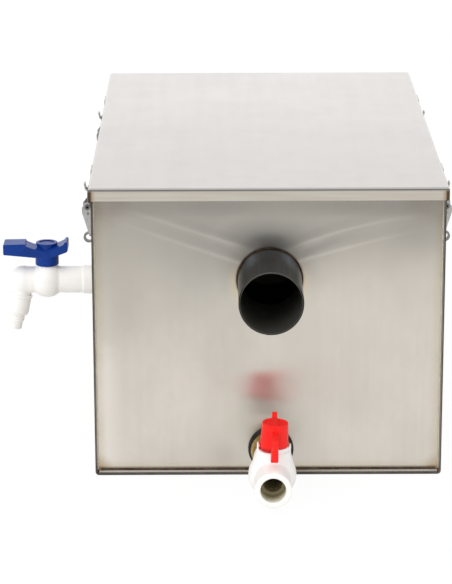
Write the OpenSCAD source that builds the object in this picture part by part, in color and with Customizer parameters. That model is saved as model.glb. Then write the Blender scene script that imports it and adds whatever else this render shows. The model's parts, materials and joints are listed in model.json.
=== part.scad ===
// Under-sink grease trap: a folded stainless tank with a clip-on lid, an outlet pipe and a drain
// valve at the front, an inlet pipe at the rear and an oil tap on the left wall.
// X runs to the right, -Y is the outlet end, Z is up, zero is the middle of the underside.

/* [Tank] */
// Outside width of the folded shell
tank_w = 280; // [260:2:340]
// Length of the folded shell, from the outlet end to the inlet end
tank_d = 440; // [430:2:540]
// Height over the closed lid
overall_h = 240; // [235:1:290]
// Thickness of the stainless sheet
sheet_t = 1.2; // [1:0.1:1.5]
// Outside radius of the two long bottom folds
bend_r = 3; // [2:0.5:5]
// Set-back of each end plate from the shell's end
panel_inset = 6.5; // [5:0.5:10]
// Leg of the fillet welds along the foot and sides of the end plates
weld_leg = 1.25; // [1:0.25:2.25]

/* [Lid] */
// Gap between the tank wall and the lid's skirt
lid_gap = 0.8; // [0.5:0.1:1.2]
// Height of the lid's outside skirt
lid_skirt = 10.2; // [8:0.2:11]
// Outside radius of the lid's folds
lid_bend_r = 2; // [1.6:0.1:3]
// Thickness of the rubber seal under the lid
gasket_t = 3; // [2:0.5:4]
// Width of the rubber seal
gasket_w = 12; // [8:1:16]

/* [Pipes] */
// Outside diameter of the inlet and outlet tubes
pipe_d = 50.8; // [40:0.1:54]
// Wall of the tubes
pipe_t = 1.2; // [1:0.1:2]
// Leg of the weld ring round each tube
tube_weld_leg = 1.2; // [0.8:0.1:2.2]
// Length of tube outside each end plate
pipe_out = 66; // [50:1:80]
// Length of tube inside each end plate
pipe_in = 8; // [5:1:12]
// Outlet axis, to the right of the middle
outlet_x = 1; // [-5:0.5:5]
// Outlet axis below the lid's top
outlet_drop = 77; // [65:1:90]
// Inlet axis below the lid's top
inlet_drop = 60; // [50:1:62]
// Bend radius of the dip elbow inside the outlet
elbow_r = 38; // [30:1:42]
// Lower end of the dip elbow above the underside
dip_end_z = 78; // [60:1:95]

/* [Inside] */
// Passage left under each baffle
baffle_gap = 40; // [25:1:60]
// Top edge of the baffles below the lid
baffle_drop = 15; // [10:1:30]
// Folded edge of each baffle
baffle_flange = 12; // [8:1:15]
// Baffle before the outlet, distance in from the outlet plate
outlet_baffle_in = 89; // [85:1:91]
// Baffle after the inlet, distance in from the inlet plate
inlet_baffle_in = 158; // [150:1:165]
// Outside width of the strainer basket
basket_w = 220; // [190:2:224]
// Outside length of the strainer basket
basket_d = 112; // [90:2:118]
// Height of the strainer basket
basket_h = 105; // [80:1:115]
// Basket rim above the underside
basket_rim_z = 148; // [140:1:150]

/* [Latches] */
// Front latches behind the lid's front edge
latch_front_in = 78; // [60:1:84]
// Rear latches in front of the lid's rear edge
latch_rear_in = 104; // [60:1:110]
// Lever hinge out from the tank wall
hinge_out = 6.2; // [6:0.1:6.8]
// Lever hinge below the lid's top
hinge_drop = 33; // [32.5:0.1:33.5]
// Inside radius of the hook on the lid
hook_r = 2.2; // [2.2:0.05:2.4]

/* [Drain valve] */
// Drain axis, to the right of the middle
drain_x = 2.2; // [-5:0.1:5]
// Drain axis above the underside
drain_z = 20.3; // [20:0.1:35]
// Lean of the valve's stem to the right, where its thread came tight
valve_roll = 3; // [-10:0.5:10]
// Outside radius of the valve's ball housing
valve_r = 19; // [18.5:0.1:19.2]
// Half the valve's length
valve_half = 37; // [35:0.5:42]
// Radius of the pipe socket in the valve's mouth
valve_socket_r = 10; // [9:0.1:11]
// Length of the red lever from the stem
drain_handle_l = 30; // [28:0.5:34]

/* [Oil tap] */
// Tap axis behind the lid's front edge
tap_in = 120; // [118:1:150]
// Tap axis above the underside
tap_z = 131; // [110:1:135]
// Stem of the tap out from the tank wall
tap_reach = 43.5; // [42:0.5:48]
// Outside radius of the tap's stub pipe
tap_r = 11.2; // [11:0.1:12]
// Tilt of the spout from straight down
spout_tilt = 12; // [5:0.1:20]
// Outside radius of the hose spigot
spigot_r = 6.2; // [5.8:0.1:6.6]

/* [Hidden] */
$fn = 64;

// Colours
steel = "#b9b6ae";
bright_wire = "#c9c9c6";
plastic_white = "#f4f1ec";
plastic_red = "#ea1f1a";
plastic_blue = "#1f3f9c";
brass = "#b08a45";
rubber = "#1d1d1d";
seat_white = "#e9e7df";

// Small allowance for cuts that pass through a face
cut = 1;
// Clearances: turning fits, plastic parts that pass each other, parts dropped in a hole
run_gap = 0.06;
pass_gap = 0.3;
hole_gap = 0.2;

// Tank
half_w = tank_w / 2;
half_d = tank_d / 2;
lid_out = lid_gap + sheet_t;
lid_w = tank_w + 2 * lid_out;
lid_d = tank_d + 2 * lid_out;
gasket_top = overall_h - sheet_t;
rim_z = gasket_top - gasket_t;
skirt_z = overall_h - lid_skirt;
plate_y = half_d - panel_inset;
plate_in_y = plate_y - sheet_t;
wall_in = half_w - sheet_t;
hem_top = 2 * sheet_t;
pipe_r = pipe_d / 2;
outlet_z = overall_h - outlet_drop;
inlet_z = overall_h - inlet_drop;

// Inside
outlet_baffle_y = -plate_in_y + outlet_baffle_in;
inlet_baffle_y = plate_in_y - inlet_baffle_in;
baffle_top = overall_h - baffle_drop;
basket_t = 1;
basket_y = (inlet_baffle_y + plate_in_y) / 2;
basket_gap = 1;
rail_gap = 4;
rail_w = wall_in - basket_w / 2 - rail_gap;
rail_h = 12;
rim_flange = wall_in - basket_gap - basket_w / 2;
slot_w = 5;
slot_pitch = 24;
slot_margin = 16;
strap_w = 16;
strap_rise = 55;

// Latches, in a section of distance out from the wall and height
hinge_z = overall_h - hinge_drop;
hinge_pin_r = 1.5;
latch_t = 1;
ear_in = 7;
cheek_in = ear_in + latch_t + hole_gap;
cheek_out = cheek_in + latch_t;
bail_r = 1;
bail_leg = 5.2;
bail_bend = 1.6;
bail_end = 0.4;
bail_in = 0.5;
bail_down = 5.38;
bail_play = 0.25;
bail_pivot = [hinge_out - bail_in, hinge_z - bail_down];
hook_down = 17.8;
hook_c = [lid_out + latch_t + hook_r, overall_h - hook_down];
bail_bar = [hook_c[0], hook_c[1] - (hook_r - bail_r - bail_play)];
hook_w = 7.6;
hook_lip = 3.4;
hook_lean = 12;
strike_w = 20;
base_w = 20;
base_h = 28;
base_below = 19;
ear_r = 2.6;
eye_w = 3.2;
eye_in = 0.6;
eye_down = 27.4;
eye_c = [hinge_out - eye_in, hinge_z - eye_down];
eye_r = 4.5;
eye_t = 1.8;
rivet_head_r = 2.4;
rivet_head_t = 0.4;
latch_front_y = -lid_d / 2 + latch_front_in;
latch_rear_y = lid_d / 2 - latch_rear_in;
front_left = [-1, latch_front_y];
front_right = [1, latch_front_y];
rear_left = [-1, latch_rear_y];
rear_right = [1, latch_rear_y];

// Lever cheek seen from the side, from the hinge: out from the wall, then height
cheek_outline = [
    [-3, -17], [-3, -1], [-1.6, 3.8], [1, 3.8], [4.4, -0.5], [4.4, -4.5], [-1.6, -24.6], [-2.8, -24.2]
];
// Outer web of the lever, below the bail's pivot
web_outline = [[3.35, -8], [-1.6, -24.6], [-2.55, -24.3], [2.4, -7.7]];
// Base ear seen from the side, from the hinge
ear_outline = [[-hinge_out, -7], [-hinge_out, 7], [-1, 2.5], [0, 2.6], [0, -2.6], [-1, -2.5]];

// Threaded fittings
thread_r = 10.4;
fitting_bore = 8;
nut_r = 15;
nut_t = 5.5;
washer_t = 2.5;

// Drain valve, measured from the ball's centre
drain_washer_r = 18.3;
washer_flat = drain_z - hem_top - weld_leg - pass_gap;
nipple_flange_r = 16.2;
nipple_flange_t = 4;
nipple_hex_t = 15;
nipple_tail = 9;
nipple_thread = 15;
valve_end_y = -plate_y - washer_t - nipple_flange_t - nipple_hex_t - pass_gap;
valve_y = valve_end_y - valve_half;
socket_out_r = 14.4;
socket_depth = 17;
drain_ball_r = 11.5;
drain_bore_r = 7.5;
drain_seat_in = 8;
drain_seat_out = 12.9;
drain_cavity_r = 12;
neck_root_r = valve_r - 0.8;
neck_r = 13;
neck_start = 4;
neck_top = 20.9;
stop_top = 24.1;
gland_r = 7.5;
gland_top = 29;
stem_r = 5;
stem_square = 7;
stem_top = 38;
stem_round_top = gland_top + 0.5;
stem_ring_z = 23;
key_t = 3;
key_h = 2;
key_l = 8;
key_slot = 2.5;
groove_r = 3.85;
ring_r = 0.55;
hub_bottom = stop_top + pass_gap;
hub_top = 43.5;
hub_r1 = 11.3;
hub_r2 = 10.2;
hub_hollow_r = 8.8;
hub_rim = 1.4;
hub_rib = 5.4;
hub_pocket = 1.2;
lever_t = 5.6;
lever_end_t = 4.2;
tab_t = 4.2;
tab_l = 24;
tab_up = 0.6;
lug_in = hub_r1 + 0.5;
lug_out = 13.4;
lug_top = 25.7;
lug_start = 6;
lug_w = 6;
lever_z = lug_top + 0.5;
// Quarter-turn stop: raised part of the body, then low part of the handle's skirt, as angles
stop_from = -104;
stop_to = 74;
skirt_from = 166;
skirt_to = 254;
// Red lever seen from the side, from the stem: along the pipe, then height
drain_lever_outline = [
    [8, lever_z], [16, lever_z], [21.5, lever_z - 4], [drain_handle_l - 1.5, lever_z - 6.3],
    [drain_handle_l, lever_z - 5], [drain_handle_l, hub_top - 7.1], [drain_handle_l - 1.5, hub_top - 5.6],
    [8, hub_top - 4]
];
// Short upturned tab opposite the lever
drain_tab_outline = [
    [8, lever_z], [15, lever_z], [tab_l, lever_z + 5], [tab_l, hub_top + tab_up - 1],
    [tab_l - 1, hub_top + tab_up], [tab_l - 3, hub_top + tab_up], [tab_l - 6, hub_top - 3], [8, hub_top - 2]
];

// Oil tap, measured from its axis at the tank wall
tap_y = -lid_d / 2 + tap_in;
tap_washer_r = 15;
tap_collar_r = tap_r + 0.8;
tap_collar_end = 13;
tap_tail = 12;
tap_boss_r = 8.8;
tap_flat = tap_r + 2;
tap_housing_r = 14.9;
tap_ball_r = 9.6;
tap_bore_r = 6;
tap_cavity_r = 10.1;
tap_seat_in = 6.5;
tap_seat_out = 11.4;
knuckle_past = 20.2;
knuckle_out = tap_reach + knuckle_past;
bend_bore_r = tap_bore_r + 0.5;
knuckle_r = tap_r + 0.5;
spout_r = 8.4;
spout_end = 27.7;
spout_bore_r = 5;
spout_nut_r = 9.5;
spout_nut_start = 12.2;
spout_lip_r = 10.1;
spout_lip_t = 1.8;
nozzle_flange_t = 1.4;
nozzle_step = 36;
nozzle_end = 42.7;
nozzle_root_r = spigot_r + 0.4;
nozzle_flange_r = spout_nut_r - 0.4;
nozzle_rib_r = nozzle_root_r + 0.5;
nozzle_rib_t = 1.1;
nozzle_rib_pitch = 2.2;
nozzle_bore_r = spout_bore_r - 0.6;
tap_stem_r = 4.4;
tap_square = 6;
tap_stem_top = 27;
tap_stem_round_top = tap_flat + 2;
tap_ring_z = 10.9;
tap_key_l = 7;
tap_groove_r = 3.3;
tap_hub_r = 9.8;
tap_hub_top = 26;
tap_hub_lap = 0.5;
tap_waist_r = 7.2;
tap_disc_r = 9.2;
tap_disc_top = 32.6;
tap_cap_r = 6;
tap_cap_t = 1.5;
tap_cap_sunk = 0.6;
wing_w = 18.6;
// Tap handle seen from the side: out from the stem towards the spout, then height above the axis
wing_outline = [
    [-6, 22.2], [-10.5, 23.4], [-17.2, 26], [-18, 27.4], [-18, 33.2], [-17.2, 34.7], [-15.6, 34.3],
    [-14.5, 32.5], [-10.5, 30.6], [0, 26.8], [11.7, 29.1], [17.2, 31.4], [17.8, 33], [35.4, 32.6], [36, 32],
    [36, 24.4], [35.4, 23.7], [9.5, 21.2]
];

// Lays a section drawn in X and Z along Y, over a centred length
module along_y(length) {
    rotate([90, 0, 0]) linear_extrude(length, center = true) children();
}

// Lays a section drawn in Y and Z along X, over a centred length
module along_x(length) {
    rotate([90, 0, 90]) linear_extrude(length, center = true) children();
}

// Points Z towards the outlet end
module outward_front() {
    rotate([90, 0, 0]) children();
}

// Round tube or ring along Z
module ring(outer, inner, length) {
    difference() {
        cylinder(r = outer, h = length);
        translate([0, 0, -cut]) cylinder(r = inner, h = length + 2 * cut);
    }
}

// Six-sided nut blank along Z
module hexagon(radius, length) {
    cylinder(r = radius, h = length, $fn = 6);
}

// Upright outline with two rounded lower corners
module trough_outline(width, radius, bottom, top) {
    translate([-width / 2, bottom + radius]) square([width, top - bottom - radius]);
    translate([-width / 2 + radius, bottom]) square([width - 2 * radius, radius]);
    for (side = [-1, 1]) translate([side * (width / 2 - radius), bottom + radius]) circle(radius);
}

// Upright outline with two rounded upper corners
module cover_outline(width, radius, bottom, top) {
    translate([-width / 2, bottom]) square([width, top - bottom - radius]);
    translate([-width / 2 + radius, top - radius]) square([width - 2 * radius, radius]);
    for (side = [-1, 1]) translate([side * (width / 2 - radius), top - radius]) circle(radius);
}

// Quarter-round weld section that fills an inside corner
module weld_section(leg) {
    intersection() {
        circle(leg);
        square(leg);
    }
}

// Inside section of the shell
module tank_section(top) {
    trough_outline(tank_w - 2 * sheet_t, bend_r - sheet_t, sheet_t, top);
}

// One folded sheet: left wall, bottom, right wall, with the bottom's ends turned back on themselves
module shell() {
    color(steel) difference() {
        union() {
            along_y(tank_d) difference() {
                trough_outline(tank_w, bend_r, 0, rim_z);
                tank_section(rim_z + cut);
            }
            for (end = [-1, 1])
                translate([-half_w + bend_r, end > 0 ? plate_y : -half_d, sheet_t])
                    cube([tank_w - 2 * bend_r, panel_inset, sheet_t]);
        }
        translate([-half_w - cut, tap_y, tap_z])
            rotate([0, 90, 0]) cylinder(r = thread_r + hole_gap, h = sheet_t + 2 * cut);
    }
}

// End plate with its outside welds, drawn for the outlet end
module end_plate() {
    translate([0, -plate_y + sheet_t / 2, 0]) along_y(sheet_t) tank_section(rim_z);
    translate([0, -plate_y, hem_top])
        rotate([90, 0, -90]) linear_extrude(tank_w - 2 * bend_r, center = true) weld_section(weld_leg);
    for (side = [-1, 1])
        translate([side * wall_in, -plate_y, bend_r])
            mirror([side > 0 ? 1 : 0, 0, 0])
                rotate([0, 0, -90]) linear_extrude(rim_z - bend_r) weld_section(weld_leg);
}

// Plate with the outlet and drain holes
module outlet_panel() {
    color(steel) difference() {
        end_plate();
        translate([outlet_x, 0, outlet_z]) outward_front() cylinder(r = pipe_r, h = half_d);
        translate([drain_x, 0, drain_z]) outward_front() cylinder(r = thread_r + hole_gap, h = half_d);
    }
}

// Plate with the inlet hole
module inlet_panel() {
    color(steel) mirror([0, 1, 0]) difference() {
        end_plate();
        translate([0, 0, inlet_z]) outward_front() cylinder(r = pipe_r, h = half_d);
    }
}

// Tube stub with its weld ring, drawn for the outlet end
module pipe_stub(x, z) {
    translate([x, -plate_y, z]) outward_front() {
        translate([0, 0, -sheet_t - pipe_in]) ring(pipe_r, pipe_r - pipe_t, sheet_t + pipe_in + pipe_out);
        rotate_extrude() translate([pipe_r, 0]) weld_section(tube_weld_leg);
    }
}

// Outlet stub
module outlet_pipe() {
    color(steel) pipe_stub(outlet_x, outlet_z);
}

// Inlet stub
module inlet_pipe() {
    color(steel) mirror([0, 1, 0]) pipe_stub(0, inlet_z);
}

// Solid block under the lid's outline
module lid_block(width, length, radius, bottom, top) {
    intersection() {
        along_y(length) cover_outline(width, radius, bottom, top);
        along_x(width) cover_outline(length, radius, bottom, top);
    }
}

// Folded lid with a skirt all round
module lid() {
    color(steel) difference() {
        lid_block(lid_w, lid_d, lid_bend_r, skirt_z, overall_h);
        lid_block(lid_w - 2 * sheet_t, lid_d - 2 * sheet_t, lid_bend_r - sheet_t, skirt_z - cut, gasket_top);
    }
}

// Rubber frame between the lid and the tank's rim
module lid_gasket() {
    outer_w = lid_w - 2 * (lid_bend_r + hole_gap);
    outer_d = lid_d - 2 * (lid_bend_r + hole_gap);
    color(rubber) translate([0, 0, rim_z]) difference() {
        translate([-outer_w / 2, -outer_d / 2, 0]) cube([outer_w, outer_d, gasket_t]);
        translate([-outer_w / 2 + gasket_w, -outer_d / 2 + gasket_w, -cut])
            cube([outer_w - 2 * gasket_w, outer_d - 2 * gasket_w, gasket_t + 2 * cut]);
    }
}

// Partition with both side edges folded over, open underneath
module baffle(y, fold_dir) {
    translate([-wall_in, y, baffle_gap]) cube([2 * wall_in, sheet_t, baffle_top - baffle_gap]);
    for (side = [-1, 1])
        translate([
            side > 0 ? wall_in - sheet_t : -wall_in,
            fold_dir > 0 ? y : y + sheet_t - baffle_flange,
            baffle_gap
        ])
            cube([sheet_t, baffle_flange, baffle_top - baffle_gap]);
}

// Partition before the outlet
module outlet_baffle() {
    color(steel) baffle(outlet_baffle_y, -1);
}

// Partition after the basket
module inlet_baffle() {
    color(steel) baffle(inlet_baffle_y, -1);
}

// Down-turned elbow that takes clean water from below the grease
module outlet_elbow() {
    start_y = -plate_in_y + pipe_in;
    bend_z = outlet_z - elbow_r;
    color(steel) translate([outlet_x, start_y, 0]) {
        translate([0, 0, bend_z]) rotate([0, -90, 0])
            rotate_extrude(angle = 90) translate([elbow_r, 0]) difference() {
                circle(pipe_r);
                circle(pipe_r - pipe_t);
            }
        translate([0, elbow_r, dip_end_z]) ring(pipe_r, pipe_r - pipe_t, bend_z - dip_end_z);
    }
}

// Two angle rails on the side walls that carry the basket
module basket_rails() {
    color(steel) for (side = [-1, 1]) mirror([side < 0 ? 1 : 0, 0, 0])
        translate([0, basket_y - basket_d / 2, basket_rim_z - basket_t]) {
            translate([wall_in - rail_w, 0, -sheet_t]) cube([rail_w, basket_d, sheet_t]);
            translate([wall_in - sheet_t, 0, -rail_h]) cube([sheet_t, basket_d, rail_h]);
        }
}

// Box cut by rows of slots, hung by its two rim flanges
module strainer_basket() {
    floor_z = basket_rim_z - basket_h;
    across = [for (x = [-basket_w / 2 + slot_margin : slot_pitch : basket_w / 2 - slot_margin]) x];
    along = [for (y = [-basket_d / 2 + slot_margin : slot_pitch : basket_d / 2 - slot_margin]) y];
    color(steel) translate([0, basket_y, 0]) difference() {
        union() {
            translate([-basket_w / 2, -basket_d / 2, floor_z]) cube([basket_w, basket_d, basket_h]);
            translate([-basket_w / 2 - rim_flange, -basket_d / 2, basket_rim_z - basket_t])
                cube([basket_w + 2 * rim_flange, basket_d, basket_t]);
        }
        translate([-basket_w / 2 + basket_t, -basket_d / 2 + basket_t, floor_z + basket_t])
            cube([basket_w - 2 * basket_t, basket_d - 2 * basket_t, basket_h]);
        for (x = across) {
            translate([x - slot_w / 2, -basket_d, floor_z + slot_margin])
                cube([slot_w, 2 * basket_d, basket_h - 2 * slot_margin]);
            translate([x - slot_w / 2, -basket_d / 2 + slot_margin, floor_z - cut])
                cube([slot_w, basket_d - 2 * slot_margin, basket_t + 2 * cut]);
        }
        for (y = along)
            translate([-basket_w / 2 - cut, y - slot_w / 2, floor_z + slot_margin])
                cube([basket_w + 2 * cut, slot_w, basket_h - 2 * slot_margin]);
    }
}

// Bent strap welded inside the basket's side walls
module basket_handle() {
    strap_half = basket_w / 2 - basket_t;
    strap_top = basket_rim_z + strap_rise;
    color(steel) translate([0, basket_y, 0]) along_y(strap_w) difference() {
        translate([-strap_half, basket_rim_z - strap_w])
            square([2 * strap_half, strap_top - basket_rim_z + strap_w]);
        translate([-strap_half + sheet_t, basket_rim_z - strap_w - cut])
            square([2 * (strap_half - sheet_t), strap_top - basket_rim_z + strap_w + cut - sheet_t]);
    }
}

// Puts a latch part, drawn out along X from the wall, at one of the four places
module at_latch(place) {
    translate([0, place[1], 0]) mirror([place[0] < 0 ? 1 : 0, 0, 0]) translate([half_w, 0, 0]) children();
}

// Side plates of a latch part, from an inner to an outer distance off its middle
module side_plates(inner, outer) {
    for (side = [-1, 1])
        translate([0, side * (inner + outer) / 2, 0]) along_y(outer - inner) children();
}

// Round pin across a latch, from an inner to an outer distance off its middle
module side_pins(point, radius, inner, outer) {
    for (side = [-1, 1])
        translate([point[0], side * inner, point[1]])
            rotate([side > 0 ? -90 : 90, 0, 0]) cylinder(r = radius, h = outer - inner);
}

// Plate on the tank wall with two ears for the lever
module latch_base(place) {
    color(steel) at_latch(place) {
        translate([0, -base_w / 2, hinge_z - base_below]) cube([latch_t, base_w, base_h]);
        difference() {
            side_plates(ear_in, ear_in + latch_t) translate([hinge_out, hinge_z]) {
                polygon(ear_outline);
                circle(ear_r);
            }
            side_pins([hinge_out, hinge_z], hinge_pin_r, 0, cheek_out);
        }
    }
}

// Folded lever with a ring at its end to pull on
module latch_lever(place) {
    color(steel) at_latch(place) difference() {
        union() {
            side_plates(cheek_in, cheek_out) translate([hinge_out, hinge_z]) polygon(cheek_outline);
            along_y(2 * cheek_out) translate([hinge_out, hinge_z]) polygon(web_outline);
            translate([eye_c[0], eye_w / 2, eye_c[1]]) outward_front() ring(eye_r, eye_r - eye_t, eye_w);
        }
        side_pins([hinge_out, hinge_z], hinge_pin_r + run_gap, 0, cheek_out + cut);
        side_pins(bail_pivot, bail_r + run_gap, 0, cheek_out + cut);
    }
}

// Quarter bend of the wire in the Y and Z plane, from a leg along Z to a bar along -Y
module wire_bend() {
    translate([0, -bail_bend, 0]) rotate([90, 0, 90])
        rotate_extrude(angle = 90) translate([bail_bend, 0]) circle(bail_r);
}

// Wire loop that pulls the hook down: two ends in the lever, two legs and the bar in the hook
module latch_bail(place) {
    run = bail_bar - bail_pivot;
    leg_top = norm(run) - bail_bend;
    color(bright_wire) at_latch(place) translate([bail_pivot[0], 0, bail_pivot[1]])
        rotate([0, atan2(run[0], run[1]), 0]) {
            side_pins([0, 0], bail_r, bail_leg + bail_bend, cheek_out + bail_end);
            side_pins([0, norm(run)], bail_r, 0, bail_leg - bail_bend);
            for (side = [0, 1]) mirror([0, side, 0]) translate([0, bail_leg, 0]) {
                translate([0, 0, bail_bend]) cylinder(r = bail_r, h = leg_top - bail_bend);
                translate([0, 0, leg_top]) wire_bend();
                translate([0, 0, bail_bend]) rotate([180, 0, 0]) wire_bend();
            }
        }
}

// Plate on the lid's skirt with a hook for the wire loop
module latch_strike(place) {
    color(steel) at_latch(place) {
        translate([lid_out, -strike_w / 2, skirt_z]) cube([latch_t, strike_w, lid_skirt - lid_bend_r]);
        along_y(hook_w) {
            translate([lid_out, hook_c[1]]) square([latch_t, skirt_z + cut - hook_c[1]]);
            translate(hook_c) difference() {
                circle(hook_r + latch_t);
                circle(hook_r);
                translate([-2 * hook_r, 0]) square([4 * hook_r, 2 * hook_r]);
            }
            translate(hook_c + [hook_r, 0]) intersection() {
                rotate(-hook_lean) translate([0, -cut]) square([latch_t, hook_lip + cut]);
                square(2 * hook_lip);
            }
        }
    }
}

// Eight short rivets that the levers turn on
module latch_rivets() {
    color(bright_wire) for (place = [front_left, front_right, rear_left, rear_right]) at_latch(place) {
        hinge = [hinge_out, hinge_z];
        side_pins(hinge, hinge_pin_r, ear_in - rivet_head_t, cheek_out + hole_gap + rivet_head_t);
        side_pins(hinge, rivet_head_r, ear_in - rivet_head_t, ear_in);
        side_pins(hinge, rivet_head_r, cheek_out + hole_gap, cheek_out + hole_gap + rivet_head_t);
    }
}

// Puts a drain fitting, drawn along Z away from the outlet plate, on the drain axis
module at_drain() {
    translate([drain_x, -plate_y, drain_z]) outward_front() children();
}

// Puts a valve part at the centre of the drain valve's ball
module at_valve() {
    translate([drain_x, valve_y, drain_z]) rotate([0, valve_roll, 0]) children();
}

// Rubber washer outside the plate, cut flat above the foot weld
module drain_washer() {
    color(rubber) at_drain() difference() {
        ring(drain_washer_r, thread_r + hole_gap, washer_t);
        translate([-drain_washer_r - cut, -washer_flat - drain_washer_r, -cut])
            cube([2 * (drain_washer_r + cut), drain_washer_r, washer_t + 2 * cut]);
    }
}

// Brass bulkhead nipple
module drain_nipple() {
    hex_start = washer_t + nipple_flange_t;
    color(brass) at_drain() difference() {
        union() {
            translate([0, 0, -sheet_t - nipple_tail])
                cylinder(r = thread_r, h = sheet_t + nipple_tail + hex_start + nipple_hex_t + nipple_thread);
            translate([0, 0, washer_t]) cylinder(r = nipple_flange_r, h = nipple_flange_t);
            translate([0, 0, hex_start]) hexagon(nut_r, nipple_hex_t);
        }
        translate([0, 0, -sheet_t - nipple_tail - cut]) cylinder(r = fitting_bore, h = half_d);
    }
}

// Brass nut inside the tank
module drain_locknut() {
    color(brass) at_drain() translate([0, 0, -sheet_t - nut_t]) difference() {
        hexagon(nut_r, nut_t);
        translate([0, 0, -cut]) cylinder(r = thread_r, h = nut_t + 2 * cut);
    }
}

// Section of a turn between two angles, to cut stops from
module sector(radius, from, to) {
    step = (to - from) / 4;
    polygon(concat([[0, 0]], [for (i = [0 : 4]) 2 * radius * [cos(from + i * step), sin(from + i * step)]]));
}

// Moulded valve body with two sockets, a flared neck with two lugs and a quarter-turn stop
module drain_valve_body() {
    color(plastic_white) at_valve() difference() {
        union() {
            sphere(valve_r);
            translate([0, valve_half, 0]) outward_front() cylinder(r = socket_out_r, h = 2 * valve_half);
            translate([0, 0, neck_start])
                cylinder(r1 = neck_root_r, r2 = neck_r, h = neck_top - neck_start);
            cylinder(r = gland_r, h = gland_top);
            intersection() {
                translate([0, 0, neck_top - cut]) cylinder(r = hub_r1, h = stop_top - neck_top + cut);
                translate([0, 0, neck_top - cut]) linear_extrude(stop_top - neck_top + cut)
                    sector(hub_r1, stop_from, stop_to);
            }
            for (side = [0, 180]) rotate([0, 0, side])
                translate([lug_in, -lug_w / 2, lug_start])
                    cube([lug_out - lug_in, lug_w, lug_top - lug_start]);
        }
        translate([0, valve_half + cut, 0])
            outward_front() cylinder(r = thread_r + run_gap, h = socket_depth + cut);
        translate([0, -valve_half + socket_depth, 0])
            outward_front() cylinder(r = valve_socket_r, h = socket_depth + cut);
        translate([0, valve_half, 0]) outward_front() cylinder(r = drain_bore_r, h = 2 * valve_half);
        translate([0, drain_seat_out + run_gap, 0])
            outward_front() cylinder(r = drain_cavity_r, h = 2 * (drain_seat_out + run_gap));
        cylinder(r = stem_r + run_gap, h = gland_top + cut);
    }
}

// Bored ball with a slot for the stem
module drain_ball() {
    color(plastic_white) at_valve() difference() {
        sphere(drain_ball_r);
        translate([0, drain_ball_r + cut, 0])
            outward_front() cylinder(r = drain_bore_r, h = 2 * (drain_ball_r + cut));
        translate([-key_t / 2 - run_gap, -drain_ball_r, drain_ball_r - key_slot])
            cube([key_t + 2 * run_gap, 2 * drain_ball_r, key_slot + cut]);
    }
}

// Ring along Z, hollowed to bear on a ball at zero
module ball_seat(bore, outer, ball, from, to) {
    rotate_extrude() difference() {
        translate([bore, from]) square([outer - bore, to - from]);
        circle(ball + run_gap);
    }
}

// Two sealing seats against the ball
module drain_seats() {
    color(seat_white) at_valve() for (turn = [-90, 90]) rotate([turn, 0, 0])
        ball_seat(drain_bore_r, drain_cavity_r - run_gap, drain_ball_r, drain_seat_in, drain_seat_out);
}

// Round stem: key below, seal groove, square end above
module valve_stem(radius, groove, start, groove_z, round_top, square, top, key) {
    difference() {
        translate([0, 0, start]) cylinder(r = radius, h = round_top - start);
        translate([0, 0, groove_z - ring_r]) ring(radius + cut, groove, 2 * ring_r);
    }
    translate([-square / 2, -square / 2, round_top]) cube([square, square, top - round_top]);
    translate([-key_t / 2, -key / 2, start - key_h]) cube([key_t, key, key_h]);
}

// Stem of the drain valve
module drain_stem() {
    color(plastic_white) at_valve()
        valve_stem(stem_r, groove_r, drain_ball_r, stem_ring_z, stem_round_top, stem_square, stem_top, key_l);
}

// Seal ring in the drain stem's groove
module drain_stem_ring() {
    color(rubber) at_valve() translate([0, 0, stem_ring_z])
        rotate_extrude() translate([groove_r + ring_r, 0]) circle(ring_r);
}

// Blade of the red lever, which narrows towards its end
module drain_lever() {
    intersection() {
        rotate([90, 0, -90]) linear_extrude(lever_t, center = true) polygon(drain_lever_outline);
        linear_extrude(hub_top) polygon([
            [-lever_t / 2, 0], [lever_t / 2, 0],
            [lever_end_t / 2, -drain_handle_l], [-lever_end_t / 2, -drain_handle_l]
        ]);
    }
}

// Two shallow pockets in the hub's top, beside the rib that joins lever and tab
module hub_pockets() {
    for (side = [-1, 1]) intersection() {
        translate([0, 0, hub_top - hub_pocket]) cylinder(r = hub_r2 - hub_rim, h = hub_pocket + cut);
        translate([side * (hub_r2 + hub_rib / 2) - hub_r2, -hub_r2, hub_top - hub_pocket])
            cube([2 * hub_r2, 2 * hub_r2, hub_pocket + cut]);
    }
}

// Red cap with a lever, a short tab and a stop on its skirt
module drain_handle() {
    color(plastic_red) at_valve() difference() {
        union() {
            translate([0, 0, hub_bottom]) cylinder(r1 = hub_r1, r2 = hub_r2, h = hub_top - hub_bottom);
            intersection() {
                translate([0, 0, neck_top + pass_gap]) cylinder(r = hub_r1, h = stop_top - neck_top);
                translate([0, 0, neck_top]) linear_extrude(hub_bottom - neck_top + cut)
                    sector(hub_r1, skirt_from, skirt_to);
            }
            drain_lever();
            rotate([90, 0, 90]) linear_extrude(tab_t, center = true) polygon(drain_tab_outline);
        }
        cylinder(r = hub_hollow_r, h = stem_round_top + pass_gap);
        translate([-stem_square / 2 - run_gap, -stem_square / 2 - run_gap, 0])
            cube([stem_square + 2 * run_gap, stem_square + 2 * run_gap, stem_top + pass_gap]);
        hub_pockets();
    }
}

// Puts a tap part, drawn out along X from the wall, on the left wall
module at_tap() {
    translate([-half_w, tap_y, tap_z]) mirror([1, 0, 0]) children();
}

// Puts a tap part on the tap's stem axis
module at_tap_stem() {
    at_tap() translate([tap_reach, 0, 0]) children();
}

// Points Z down the spout, from the knuckle
module down_spout() {
    at_tap() translate([knuckle_out, 0, 0]) rotate([0, 180 - spout_tilt, 0]) children();
}

// Rubber washer outside the wall
module tap_washer() {
    color(rubber) at_tap() rotate([0, 90, 0]) ring(tap_washer_r, thread_r + hole_gap, washer_t);
}

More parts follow.
